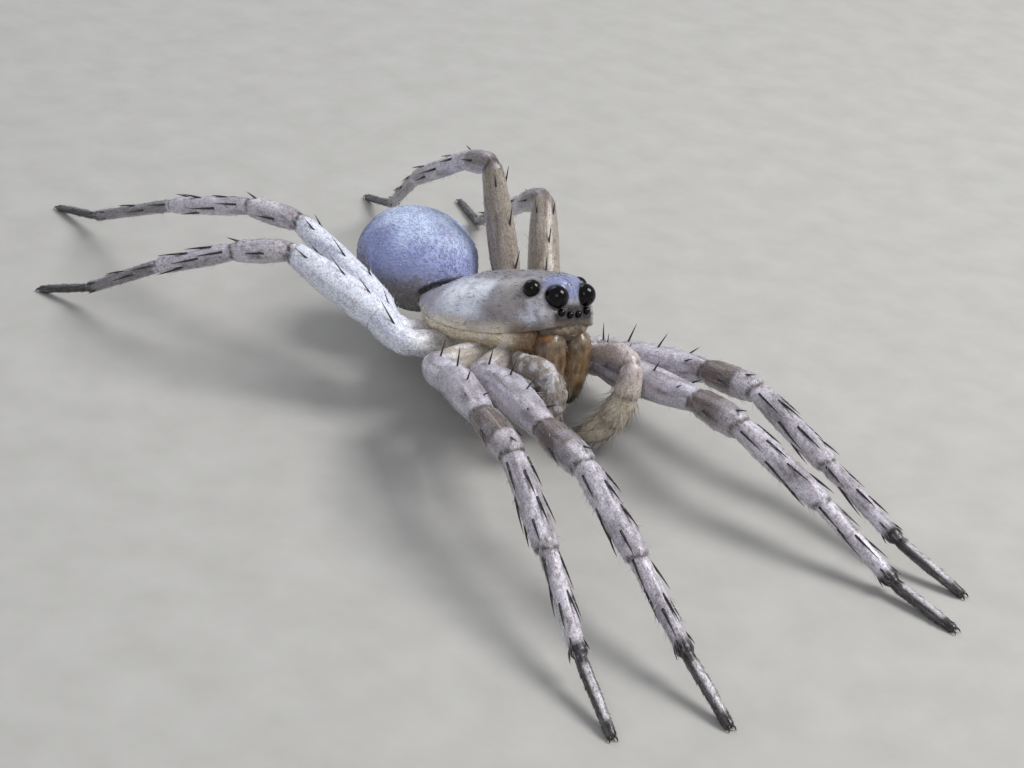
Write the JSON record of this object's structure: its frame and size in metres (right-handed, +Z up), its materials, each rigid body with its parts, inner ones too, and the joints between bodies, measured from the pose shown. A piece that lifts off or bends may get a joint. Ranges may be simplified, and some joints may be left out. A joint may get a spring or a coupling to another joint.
{
  "type": "wolf spider",
  "caption": "Pale sand-coloured wolf spider standing on flat ground, life-size still model with globe-shaped abdomen, long spiny legs and glossy dark eyes.",
  "frame": {"origin": "on the floor below the middle of the model's bounding box", "axes": "+X the way the spider's head points, +Y to its left, +Z up"},
  "size_m": [0.0242, 0.0124, 0.0045],
  "materials": {
    "carapace": "smooth, slightly shiny pale cuticle with short white hairs",
    "underside": "satin pale cuticle",
    "abdomen": "velvety short blue-grey hair",
    "eye": "glossy black lens",
    "jaw": "shiny translucent orange-brown cuticle",
    "palp": "satin translucent cuticle with fine hairs",
    "femur": "satin milky cuticle",
    "leg": "satin grey-brown cuticle with white scale hairs and dark spines",
    "foot": "satin brown cuticle, darker at the tip"
  },
  "bodies": {
    "root": {"abdomen": "abdomen", "carapace": "carapace", "chelicera_left": "jaw", "chelicera_right": "jaw", "eye_lateral_front_left": "eye", "eye_lateral_front_right": "eye", "eye_lateral_rear_left": "eye", "eye_lateral_rear_right": "eye", "eye_median_front_left": "eye", "eye_median_front_right": "eye", "eye_median_rear_left": "eye", "eye_median_rear_right": "eye", "leg_left_1_femur": "femur", "leg_left_1_metatarsus": "leg", "leg_left_1_patella": "leg", "leg_left_1_tarsus": "foot", "leg_left_1_tibia": "leg", "leg_left_2_femur": "femur", "leg_left_2_metatarsus": "leg", "leg_left_2_patella": "leg", "leg_left_2_tarsus": "foot", "leg_left_2_tibia": "leg", "leg_left_3_femur": "femur", "leg_left_3_metatarsus": "leg", "leg_left_3_patella": "leg", "leg_left_3_tarsus": "foot", "leg_left_3_tibia": "leg", "leg_left_4_femur": "femur", "leg_left_4_metatarsus": "leg", "leg_left_4_patella": "leg", "leg_left_4_tarsus": "foot", "leg_left_4_tibia": "leg", "leg_right_1_femur": "femur", "leg_right_1_metatarsus": "leg", "leg_right_1_patella": "leg", "leg_right_1_tarsus": "foot", "leg_right_1_tibia": "leg", "leg_right_2_femur": "femur", "leg_right_2_metatarsus": "leg", "leg_right_2_patella": "leg", "leg_right_2_tarsus": "foot", "leg_right_2_tibia": "leg", "leg_right_3_femur": "femur", "leg_right_3_metatarsus": "leg", "leg_right_3_patella": "leg", "leg_right_3_tarsus": "foot", "leg_right_3_tibia": "leg", "leg_right_4_femur": "femur", "leg_right_4_metatarsus": "leg", "leg_right_4_patella": "leg", "leg_right_4_tarsus": "foot", "leg_right_4_tibia": "leg", "palp_left_lower": "palp", "palp_left_upper": "palp", "palp_right_lower": "palp", "palp_right_upper": "palp", "spinnerets": "abdomen", "underside": "underside"}
  },
  "joints": []
}
